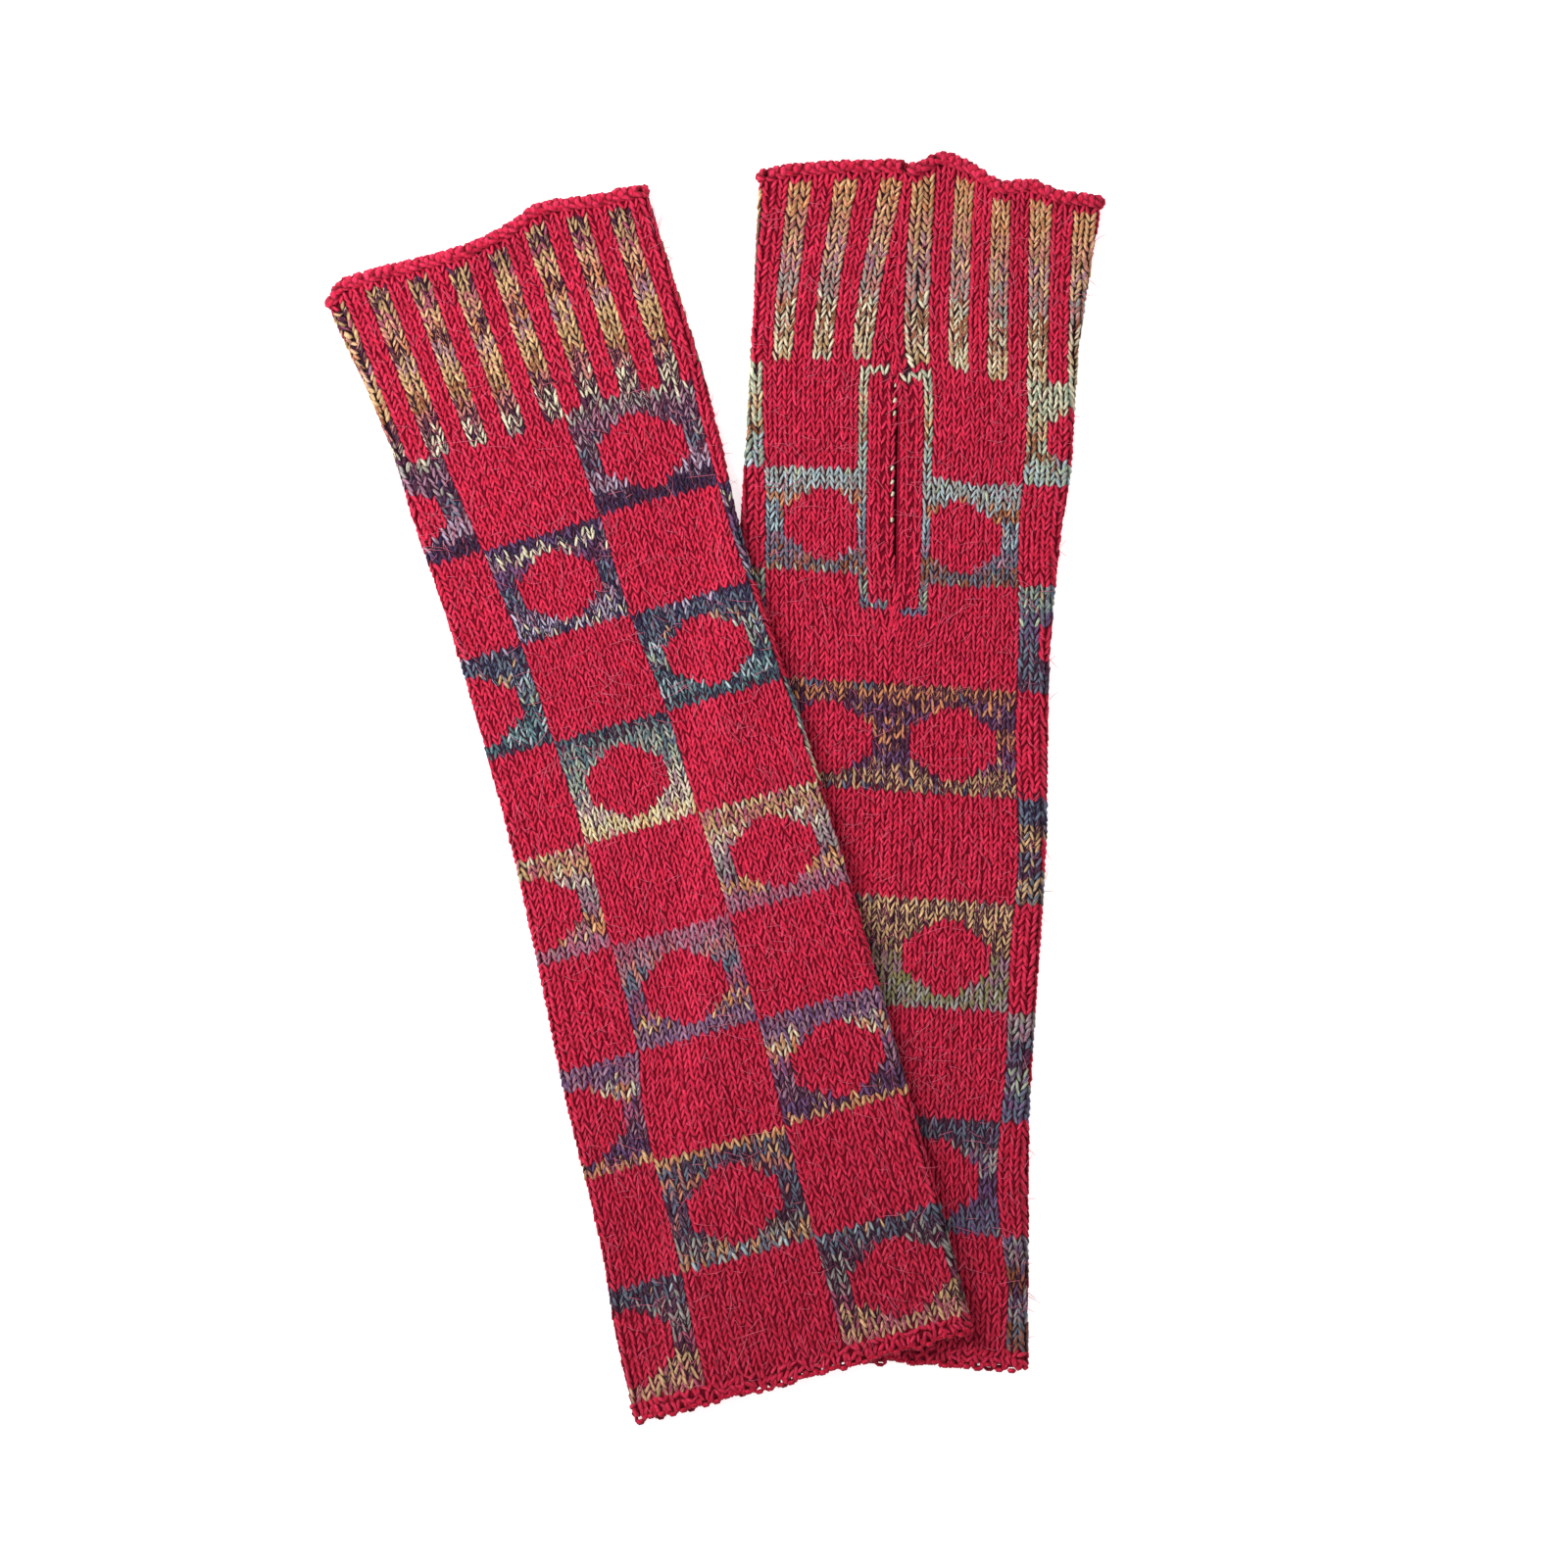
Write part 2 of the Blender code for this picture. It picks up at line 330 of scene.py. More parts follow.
def read(table, at, column=1):
    """A column's values at places along the table's first one, on a smooth curve."""
    keys, values = np.array(table, float)[:, [0, column]].T
    at = np.clip(np.asarray(at, float), keys[0], keys[-1])
    i = np.clip(np.searchsorted(keys, at, side="right") - 1, 0, len(keys) - 2)
    low = np.maximum(np.arange(len(keys)) - 1, 0)
    high = np.minimum(np.arange(len(keys)) + 1, len(keys) - 1)
    slopes = (values[high] - values[low]) / (keys[high] - keys[low])
    step = keys[i + 1] - keys[i]
    t = (at - keys[i]) / step
    return (
        values[i] * (2 * t**3 - 3 * t**2 + 1)
        + slopes[i] * step * (t**3 - 2 * t**2 + t)
        + values[i + 1] * (3 * t**2 - 2 * t**3)
        + slopes[i + 1] * step * (t**3 - t**2)
    )


def row_place(row):
    """Where a row lies along the arm, in mm."""
    keys, values = np.array(ROW_LINES, float).T
    past = np.maximum(np.asarray(row, float) - keys[-1], 0)
    before = np.minimum(np.asarray(row, float), 0)
    return np.interp(row, keys, values) + past * TOP_ROW + before * HEM_ROW


def to_own(warmer, x, y):
    """Places on the table as across and along a warmer, in mm."""
    turn = math.radians(warmer["turn"])
    dx, dy = x - warmer["place"][0], y - warmer["place"][1]
    return (
        dx * math.cos(turn) + dy * math.sin(turn),
        dy * math.cos(turn) - dx * math.sin(turn) + LENGTH / 2,
    )


def flare(along):
    """How far the layers have parted for the roll, from 0 to 1 at the mouth."""
    return smooth((along - LENGTH + MOUTH_FLARE) / MOUTH_FLARE)


def fold_gap(inward, along):
    """Distance between the middles of the two layers, this far in from a fold."""
    swell = FOLD_SWELL * (1 - smooth(inward / SWELL_REACH))
    closed = WALL + LAYER_GAP + swell
    return closed + (2 * ROLL_RADIUS + SEAM_GAP - closed) * flare(along)


def seam_wales(warmer, along):
    """The first and the last wale that the seam leaves showing."""
    return (read(warmer["seam_wales"], along, column) for column in (FIRST, LAST))


def unrolled(warmer, wale, along):
    """Each wale's place across on its own face, the face it is on, and both folds."""
    left, right, seam = (
        read(warmer["sections"], along, column) for column in (LEFT, RIGHT, SEAM)
    )
    share = (along - SLIT_LOW) / (SLIT_HIGH - SLIT_LOW)
    opened = np.clip(SLIT_EVEN * np.sin(np.pi * np.clip(share, 0, 1)), 0, 1)
    half_gap = SLIT_GAPE * opened / 2
    bulge = FOLD_BULGE * fold_gap(0.0, along) / 2
    low, high = read(warmer["fold_low"], along), read(warmer["fold_high"], along)
    first, last = seam_wales(warmer, along)
    # Seen from above, wales run to the right on the back of a palm-down warmer, and
    # away from the seam to the right on the palm of a palm-up one.
    if warmer["palm_up"]:
        low_edge, high_edge = right + bulge, left - bulge
        seam_first, seam_last = seam + half_gap, seam - half_gap
    else:
        low_edge, high_edge = left - bulge, right + bulge
        seam_first, seam_last = seam - half_gap, seam + half_gap
    anchors = [(first, seam_first)]
    lines = [(w, read(t, along)) for w, t in warmer["palm_lines"]]
    anchors += [(w + 0 * along, x) for w, x in lines if w < WALES / 3]
    anchors.append((low, low_edge))
    anchors += [(w + 0 * along, read(t, along)) for w, t in warmer["back_lines"]]
    anchors.append((high, high_edge))
    anchors += [(w + 0 * along, x) for w, x in lines if w > WALES / 3]
    anchors.append((last, seam_last))
    across = np.zeros_like(along)
    for k, ((w0, x0), (w1, x1)) in enumerate(zip(anchors, anchors[1:])):
        inside = wale >= w0 if k else np.ones_like(along, bool)
        value = x0 + (x1 - x0) * (wale - w0) / (w1 - w0)
        across = np.where(inside, value, across)
    on_back = (wale >= low) & (wale < high)
    return across, on_back, left, right


def cloth_point(warmer, wale, row, out=0.0):
    """Points on the cloth in metres, this far in mm out from the middle of the wall."""
    wale, row = np.broadcast_arrays(np.asarray(wale, float), np.asarray(row, float))
    along = row_place(row)
    across, on_back, left, right = unrolled(warmer, wale, along)
    radius = fold_gap(0.0, along) / 2
    from_left = across - (left - FOLD_BULGE * radius)
    from_right = (right + FOLD_BULGE * radius) - across
    near = np.minimum(from_left, from_right)
    side = np.where(from_left < from_right, -1.0, 1.0)
    edge = np.where(side < 0, left, right)
    angle = np.clip(near / radius, 0.0, np.pi / 2)
    turned = near < radius * np.pi / 2
    x = np.where(turned, edge - side * radius * (1 - np.cos(angle)), across)
    inward = np.maximum(np.minimum(x - left, right - x), 0)
    gap = fold_gap(inward, along)
    upper = on_back != warmer["palm_up"]
    facing = np.where(upper, 1.0, -1.0)
    lean = np.where(turned, np.sin(angle), 1.0)
    level = gap / 2 * (1 + facing * lean)
    if warmer["palm_up"]:
        seam = read(warmer["sections"], along, SEAM)
        lapped = smooth((along - LAP_FROM) / LAP_RUN) * (wale < WALES / 2) * upper
        near_seam = 1 - smooth((across - seam) / LAP_WIDTH)
        x = x - LAP_OVER * lapped * near_seam
        level = level + LAP_RISE * lapped * near_seam
    outward = np.where(turned, np.cos(angle), 0.0) * side
    base = WALL / 2 + (ROLL_RADIUS - WALL / 2) * flare(along)
    x = x + outward * out
    share = (along / LENGTH - UNEVEN_FROM) / (1 - UNEVEN_FROM)
    y = along + read(warmer["top"], x) * smooth(share)
    if warmer["palm_up"]:
        rising = smooth((along - LIFT_ON[0]) / LIFT_ON[1])
        beside_slit = rising * (1 - smooth((along - LIFT_OFF[0]) / LIFT_OFF[1]))
        faded = smooth((wale - HALF_FADE[0]) / HALF_FADE[1])
        right_half = (1 - faded) * (wale < WALES / 2)
        y = y + beside_slit * (SLIT_LIFT - HALF_DROP * right_half)
    y = y - LENGTH / 2
    turn = math.radians(warmer["turn"])
    wx = warmer["place"][0] + x * math.cos(turn) - y * math.sin(turn)
    wy = warmer["place"][1] + x * math.sin(turn) + y * math.cos(turn)
    z = base + level + facing * lean * out
    if not warmer["palm_up"]:
        under = WARMERS["under"]
        own_x, own_y = to_own(under, wx, wy)
        past = own_x - read(under["sections"], own_y, LEFT)
        z = z + CLIMB_FOOT + CLIMB * smooth((past + CLIMB_MARGIN + CLIMB_RUN) / CLIMB_RUN)
    # The cloth is never quite flat: long low swells and shallow troughs, in mm
    phase = 0.0 if warmer["palm_up"] else 2.1
    swell = (
        0.16 * np.sin(wx / 17 + wy / 41 + phase)
        + 0.12 * np.sin(wy / 23 - wx / 31 + 1.7 * phase)
        + 0.10 * np.sin(wy / 9.5 + wx / 13 + phase)
    )
    z = z + swell * lean * np.where(upper, 1.0, 0.4)
    return np.stack([wx, wy, z], -1) * MM


def unit(v):
    """Vectors of the same direction and length 1."""
    return v / np.maximum(np.linalg.norm(v, axis=-1, keepdims=True), 1e-12)


def cloth_frame(warmer, wale, row, out=0.0):
    """Points on the cloth with the directions of a wale step, a row step and outwards."""
    here = cloth_point(warmer, wale, row, out)
    step = 0.25
    wale_step = (
        cloth_point(warmer, wale + step, row, out) - cloth_point(warmer, wale - step, row, out)
    ) / (2 * step)
    row_step = (
        cloth_point(warmer, wale, row + step, out) - cloth_point(warmer, wale, row - step, out)
    ) / (2 * step)
    outward = unit(np.cross(row_step, wale_step))
    centre_in = cloth_point(warmer, wale, row, out + 0.5) - here
    flip = np.sign((outward * centre_in).sum(-1, keepdims=True))
    outward = outward * np.where(flip == 0, 1.0, flip)
    return here, wale_step, row_step, outward


def is_marled(wale, row):
    """Whether the chart has the marled yarn at a wale and row."""
    wale, row = int(wale), int(row)
    slit = SLIT_ROWS[0] <= row < SLIT_ROWS[1]
    from_seam = min(wale, WALES - 1 - wale)
    if slit and from_seam < BAND_WALES and row < CHECK_TOP:
        return row == CHECK_TOP - 2 and from_seam > 0
    if row == SLIT_ROWS[0] - 1 and 0 < from_seam <= BAND_WALES:
        return True
    if slit and from_seam == BAND_WALES and row < CHECK_TOP - 1:
        return True
    if row >= CHECK_TOP:
        striped = STRIPE_WALES[0] <= wale < STRIPE_WALES[1]
        return row < ROWS - 1 and striped and wale % STRIPE_REPEAT in (2, 3)
    if row < HEM_ROWS or not 1 <= wale < WALES - 1:
        return False
    block = BLOCKS - 1 - (row - HEM_ROWS) // BLOCK_ROWS
    column, place = divmod(wale - 1, COLUMN_WALES)
    if (block + column) % 2 == 0:
        return False
    line = (row - HEM_ROWS) % BLOCK_ROWS - SPOT_FIRST_ROW
    if 0 <= line < len(SPOT_WIDTHS):
        reach = SPOT_WIDTHS[line] / 2
        return abs(place + 0.5 - COLUMN_WALES / 2) > reach
    return True


def marl_by_row(name):
    """The two ply colours of the marled yarn in each row, from the lowest row up."""
    plies = []
    for part in MARL[name].split(","):
        rows, first, second = part.split()
        plies += [(first, second)] * int(rows)
    return [("red", "red")] * HEM_ROWS + plies[::-1]


def with_seed(colour, rng):
    """Adds a number of its own for each strand, which shifts the grain of its fibres."""
    return np.concatenate([colour, rng.random((len(colour), 1))], 1)


def red_plies(pairs, count, rng):
    """Two ply colours for each of the plain red strands, each between a pair of reds."""
    lift = rng.random(count)[:, None]
    return [YARN_LIGHT[p] * (1 - lift) + YARN_LIGHT[q] * lift for p, q in pairs]


def chart_colours(name, wales, rows, rng):
    """Two ply colours for each strand."""
    plies = marl_by_row(name)
    marled = np.array([is_marled(w, r) for w, r in zip(wales, rows)])
    # The yarn runs to and fro, so its colours move along a row and back along the next
    share = wales / WALES
    travel = np.where(rows % 2 == 0, share, 1 - share)
    chosen = []
    for ply in (0, 1):
        drift = rng.normal(0, MARL_DRIFT, len(rows))
        source = np.clip(np.floor(rows + travel + drift), HEM_ROWS, ROWS - 1).astype(int)
        chosen.append(np.array([YARN_LIGHT[plies[r][ply]] for r in source]))
    swap = (rng.random(len(rows)) < 0.5)[:, None]
    first, second = np.where(swap, chosen[1], chosen[0]), np.where(swap, *chosen)
    # A strand often shows only one of its plies, so pale and dark strands lie side by side
    second = np.where((rng.random(len(rows)) < MARL_SOLID)[:, None], first, second)
    plain_a, plain_b = red_plies(CROWN_REDS, len(rows), rng)
    a = np.where(marled[:, None], first, plain_a)
    b = np.where(marled[:, None], second, plain_b)
    tone = rng.normal(*(np.where(marled, *both) for both in zip(MARL_TONE, RED_TONE)))
    # Painted shade: the yarn is painted darker over the lowest rows, most at the lower edge
    painted_shade = PAINTED_LOW_SHADE * smooth((PAINTED_SHADE_ROWS - rows) / PAINTED_SHADE_ROWS)
    tone = (tone * (1 - painted_shade))[:, None]
    return with_seed(a * tone, rng), b * tone


def mesh_from(name, points, faces, material, colours, uv=None, bake_uv=None):
    """A mesh from arrays. Faces are rows of corner indices, of one length in each array."""
    mesh = bpy.data.meshes.new(name)
    points = points.copy()
    points[:, 2] = np.maximum(points[:, 2], REST_HEIGHT)
    sizes = np.concatenate([np.full(len(f), f.shape[1]) for f in faces])
    corners = np.concatenate([f.ravel() for f in faces])
    mesh.vertices.add(len(points))
    mesh.vertices.foreach_set("co", points.astype(np.float32).ravel())
    mesh.loops.add(len(corners))
    mesh.loops.foreach_set("vertex_index", corners.astype(np.int32))
    mesh.polygons.add(len(sizes))
    starts = np.concatenate([[0], np.cumsum(sizes)[:-1]])
    mesh.polygons.foreach_set("loop_start", starts.astype(np.int32))
    mesh.update(calc_edges=True)
    for key, values in colours.items():
        layer = mesh.attributes.new(key, "FLOAT_COLOR", "POINT")
        full = np.ones((len(points), 4), np.float32)
        full[:, :values.shape[1]] = np.clip(values, 0, 1)
        layer.data.foreach_set("color", full.ravel())
    if uv is not None:
        mesh.uv_layers.new(name="yarn").data.foreach_set("uv", uv.astype(np.float32).ravel())
    if bake_uv is not None:
        layer = mesh.uv_layers.new(name="OFBake")
        layer.data.foreach_set("uv", bake_uv.astype(np.float32).ravel())
    mesh.materials.append(material)
    mesh.shade_smooth()
    mesh.validate()
    made = bpy.data.objects.new(name, mesh)
    bpy.context.scene.collection.objects.link(made)
    return made


# Where a strand's rings of points lie, from its middle and along its yarn UV
STRAND_RINGS = {1: ((0.0,), (0.5,)), 2: ((-0.26, 0.26), (0.24, 0.76))}
STRAND_FLATNESS = 0.85
CELL_MARGIN = 0.08  # clear border round each strand's cell in the baking UV


def repeated(corners, count, per):
    """The same faces on each of many pieces that have so many points each."""
    faces = np.array(corners)[None, :, ::-1] + (np.arange(count) * per)[:, None, None]
    return faces.reshape(-1, faces.shape[-1])


def strand_arrays(centre, axis, outward, length, radius, sink, tilt, sides, rings, bow=0.0):
    """Plump strands of yarn as points, faces and yarn UVs.

    sink is how far the lower and the upper tip are tucked in. tilt is how much prouder
    the lower half stands than the upper one, which goes under the next row. bow moves
    the middle of a strand aside.
    """
    count = len(centre)
    axis = unit(axis)
    outward = unit(outward - axis * (outward * axis).sum(-1, keepdims=True))
    beside = np.cross(axis, outward)
    turns = np.arange(sides) * 2 * np.pi / sides
    points = []
    stops, marks = STRAND_RINGS[rings]
    for stop in stops:
        middle = centre + axis * (stop * length)[:, None]
        middle = middle - outward * (2 * stop * tilt) + bow
        for turn in turns:
            points.append(
                middle
                + beside * (np.cos(turn) * radius)[:, None]
                + outward * (np.sin(turn) * radius * STRAND_FLATNESS)[:, None]
            )
    for stop, depth in zip((-0.5, 0.5), sink):
        points.append(centre + axis * (stop * length)[:, None] - outward * depth)
    per = len(points)
    points = np.stack(points, 1).reshape(-1, 3)
    low_tip, high_tip = per - 2, per - 1
    tris, tri_uv, quads, quad_uv = [], [], [], []
    last = (rings - 1) * sides
    for i in range(sides):
        j = (i + 1) % sides
        a, b, mid = i / sides, (i + 1) / sides, (i + 0.5) / sides
        tris.append((low_tip, j, i))
        tri_uv.append(((mid, 0.0), (b, marks[0]), (a, marks[0])))
        tris.append((high_tip, last + i, last + j))
        tri_uv.append(((mid, 1.0), (a, marks[-1]), (b, marks[-1])))
        if rings == 2:
            quads.append((i, j, last + j, last + i))
            quad_uv.append(((a, marks[0]), (b, marks[0]), (b, marks[1]), (a, marks[1])))
    faces, uvs, cells = [], [], []
    side_count = math.ceil(math.sqrt(count))
    cell = np.stack([np.arange(count) % side_count, np.arange(count) // side_count], -1)
    for block, block_uv in ((tris, tri_uv), (quads, quad_uv)):
        if not block:
            continue
        block_uv = np.array(block_uv)[:, ::-1]
        faces.append(repeated(block, count, per))
        uv = np.broadcast_to(block_uv[None], (count, *block_uv.shape))
        uvs.append(uv.reshape(-1, 2))
        packed = cell[:, None, None, :] + CELL_MARGIN + uv * (1 - 2 * CELL_MARGIN)
        packed = packed / side_count
        cells.append(packed.reshape(-1, 2))
    return points, faces, np.concatenate(uvs), np.concatenate(cells), per


def join_arrays(parts):
    """Several strand arrays as one set."""
    points = np.concatenate([p[0] for p in parts])
    faces, uvs, cells, base = [], [], [], 0
    share = 1.0 / len(parts)
    for k, (pts, part_faces, uv, cell, _) in enumerate(parts):
        faces += [f + base for f in part_faces]
        uvs.append(uv)
        cells.append(cell * np.array([share, 1.0]) + np.array([share * k, 0.0]))
        base += len(pts)
    return points, faces, np.concatenate(uvs), np.concatenate(cells)


def wale_groups(name):
    """Strips of wales, and whether each one's stitches are on the side that shows."""
    low, high = WARMERS[name]["seen_wales"]
    if low < high:
        middle = (low + high) // 2
        return (
            ("back_left", range(low, middle), True),
            ("back_right", range(middle, high), True),
            ("palm_left", range(0, low), False),
            ("palm_right", range(high, WALES), False),
        )
    middle = (low + high) // 2
    return (
        ("palm_right", range(0, high), True),
        ("palm_left", range(low, WALES), True),
        ("back_right", range(high, middle), False),
        ("back_left", range(middle, low), False),
    )


def node(tree, kind, settings=None, inputs=None):
    """Adds a node with its settings; an input is a value or another node's socket."""
    made = tree.nodes.new("ShaderNode" + kind)
    for key, value in (settings or {}).items():
        setattr(made, key, value)
    for key, value in (inputs or {}).items():
        if isinstance(value, bpy.types.NodeSocket):
            tree.links.new(value, made.inputs[key])
        else:
            made.inputs[key].default_value = value
    return made


def bare_material(name):
    """A material without nodes, and the function that adds them to it."""
    material = bpy.data.materials.new(name)
    material.use_nodes = True
    material.node_tree.nodes.clear()
    return material, functools.partial(node, material.node_tree)


def marled_wool(name, settings):
    """Two-ply wool and mohair, spun softly and brushed.

    The plies wind round each other about once a stitch, so the two colours cross each
    strand on a slant. Loose fibre gives a dull surface, with a pale painted sheen in flecks.
    """
    material, add = bare_material(name)
    uv = add("UVMap", {"uv_map": "yarn"})
    split = add("SeparateXYZ", None, {0: uv.outputs["UV"]})
    # Two periods round the strand, so both plies lie side by side on the half that shows
    round_strand = add("Math", {"operation": "MULTIPLY"}, {0: split.outputs["X"], 1: 2.0})
    wind = add("Math", {"operation": "MULTIPLY_ADD"},
               {0: split.outputs["Y"], 1: settings.ply_turns, 2: round_strand.outputs[0]})
    wave = add("Math", {"operation": "MULTIPLY"}, {0: wind.outputs[0], 1: 2 * math.pi})
    sine = add("Math", {"operation": "SINE"}, {0: wave.outputs[0]})
    first = add("Attribute", {"attribute_name": "ply_a"})
    second = add("Attribute", {"attribute_name": "ply_b"})
    # Fibre grain, drawn out along the strand: about 0.3 mm across and 2 mm long
    across = add("Math", {"operation": "MULTIPLY"}, {0: wind.outputs[0], 1: 4.5})
    along = add("Math", {"operation": "MULTIPLY"}, {0: split.outputs["Y"], 1: 2.2})
    own = add("Math", {"operation": "MULTIPLY"}, {0: first.outputs["Alpha"], 1: 97.0})
    grain = add("CombineXYZ", None,
                {"X": across.outputs[0], "Y": along.outputs[0], "Z": own.outputs[0]})
    fuzz = add("TexNoise", None, {"Vector": grain.outputs[0], "Scale": 1.0, "Detail": 2.0})
    edge = add("Math", {"operation": "MULTIPLY_ADD"},
               {0: fuzz.outputs["Fac"], 1: 4.4, 2: -2.2})
    mixed = add("Math", {"operation": "ADD"}, {0: sine.outputs[0], 1: edge.outputs[0]})
    share = add("MapRange", {"interpolation_type": "SMOOTHSTEP"},
                {"Value": mixed.outputs[0], "From Min": -0.45, "From Max": 0.45})
    plies = add(
        "Mix", {"data_type": "RGBA"},
        {0: share.outputs[0], 6: first.outputs["Color"], 7: second.outputs["Color"]},
    )
    # Fibres lie in every direction and lighten or darken the strand in fine flecks
    flecks = add(
        "MapRange", None,
        {"Value": fuzz.outputs["Fac"], "From Min": 0.3, "From Max": 0.7,
         "To Min": 0.62, "To Max": 1.42},
    )
    shade = add(
        "MapRange", {"interpolation_type": "SMOOTHSTEP"},
        {"Value": split.outputs["Y"], "From Min": 0.55, "From Max": 1.0,
         "To Min": 1.0, "To Max": settings.end_shade},
    )
    # Flanks lie in their neighbours' shade, and only the crown of a strand is bright
    about = add("Math", {"operation": "MULTIPLY"}, {0: split.outputs["X"], 1: 2 * math.pi})
    crest = add("Math", {"operation": "SINE"}, {0: about.outputs[0]})
    crown = add(
        "MapRange", {"interpolation_type": "SMOOTHSTEP"},
        {"Value": crest.outputs[0], "From Min": -0.1, "From Max": 1.0,
         "To Min": settings.flank_shade, "To Max": 1.22},
    )
    lit = add("Math", {"operation": "MULTIPLY"}, {0: crown.outputs[0], 1: shade.outputs[0]})
    tone = add("Math", {"operation": "MULTIPLY"}, {0: flecks.outputs[0], 1: lit.outputs[0]})
    coloured = add("VectorMath", {"operation": "SCALE"},
                   {0: plies.outputs[2], "Scale": tone.outputs[0]})
    # Painted sheen: a pale pink mixed into the colour where the fibre noise is high, standing
    # in for light caught by loose fibre
    painted_sheen = add(
        "MapRange", {"interpolation_type": "SMOOTHSTEP"},
        {"Value": fuzz.outputs["Fac"], "From Min": 0.46, "From Max": 0.72,
         "To Min": 0.0, "To Max": 0.07},
    )
    with_painted_sheen = add("Mix", {"data_type": "RGBA"},
               {0: painted_sheen.outputs[0], 6: coloured.outputs[0], 7: (*linear("D99AA2"), 1.0)})
    relief = add("Bump", None,
                 {"Strength": 0.6, "Distance": 0.0003, "Height": fuzz.outputs["Fac"]})
    shader = add(
        "BsdfPrincipled", None,
        {"Base Color": with_painted_sheen.outputs[2], "Normal": relief.outputs[0],
         "Roughness": 0.92, "Specular IOR Level": 0.15, "Sheen Weight": 0.08,
         "Sheen Roughness": 0.5, "Sheen Tint": (1.0, 0.45, 0.5, 1.0)},
    )
    add("OutputMaterial", None, {"Surface": shader.outputs[0]})
    return material


def wool_ground(name):
    """The inside of the fabric, seen only between stitches: the same wool in shadow."""
    material, add = bare_material(name)
    colour = add("Attribute", {"attribute_name": "ply_a"})
    where = add("TexCoord")
    fuzz = add("TexNoise", None,
               {"Vector": where.outputs["Object"], "Scale": 1400.0, "Detail": 3.0})
    tone = add(
        "MapRange", None,
        {"Value": fuzz.outputs["Fac"], "From Min": 0.3, "From Max": 0.7,
         "To Min": 0.6, "To Max": 1.3},
    )
    coloured = add("VectorMath", {"operation": "SCALE"},
                   {0: colour.outputs["Color"], "Scale": tone.outputs[0]})
    shader = add(
        "BsdfPrincipled", None,
        {"Base Color": coloured.outputs[0], "Roughness": 0.96,
         "Specular IOR Level": 0.1},
    )
    add("OutputMaterial", None, {"Surface": shader.outputs[0]})
    return material


def material_named(name, make, *args):
    """The material of this name, made the first time it is asked for."""
    return bpy.data.materials.get(name) or make(name, *args)


def hang_on(obj):
    """Fixes a piece to the one body."""
    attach(obj, BODY)


def each_warmer(seed):
    """Both warmers by name, the lower one first, each with its own random draws."""
    for k, name in enumerate(("under", "over")):
        yield name, np.random.default_rng(seed + k)


class KnitSettings(bpy.types.PropertyGroup):
    """Sizes and shades of the yarn"""

    strand_radius: FloatProperty(
        name="Strand radius", description="Half the thickness of one strand of a stitch",
        default=0.00048, min=0.0002, max=0.002, precision=5, subtype="DISTANCE",
        unit="LENGTH",
    )
    strand_overlap: FloatProperty(
        name="Strand length", description="Length of a strand as a share of its row",
        default=2.05, min=1.0, max=3.0,
    )
    ply_turns: FloatProperty(
        name="Ply turns", description="Turns of the two plies along one strand",
        default=0.55, min=0.0, max=4.0,
    )
    end_shade: FloatProperty(
        name="End shade", description="Brightness where a strand tucks under the next",
        default=0.56, min=0.0, max=1.0,
    )
    flank_shade: FloatProperty(
        name="Flank shade", description="Brightness of a strand's flanks against its crown",
        default=0.54, min=0.0, max=1.0,
    )
    hairs: IntProperty(
        name="Loose hairs", description="Long mohair fibres on each arm warmer",
        default=2200, min=0, max=4000,
    )
    hair_length: FloatProperty(
        name="Hair length", description="Usual length of a loose mohair fibre",
        default=0.0045, min=0.001, max=0.02, precision=4, subtype="DISTANCE",
        unit="LENGTH",
    )


class StageSettings(bpy.types.PropertyGroup):
    """The floor and the light"""

    floor_colour: FloatVectorProperty(
        name="Floor", description="Colour of the pale floor", subtype="COLOR", size=3,
        default=tuple(linear("FAFAFA")), min=0.0, max=1.0,
    )
    floor_glow: FloatProperty(
        name="Floor glow", description="Light table effect that thins the shadows",
        default=0.62, min=0.0, max=2.0,
    )
    lamp_power: FloatProperty(
        name="Lamp power", description="Power of the large soft lamp", default=3.9,
        min=0.0, max=500.0, unit="POWER",
    )
    room_light: FloatProperty(
        name="Room light", description="Brightness of the even light all round",
        default=0.58, min=0.0, max=4.0,
    )


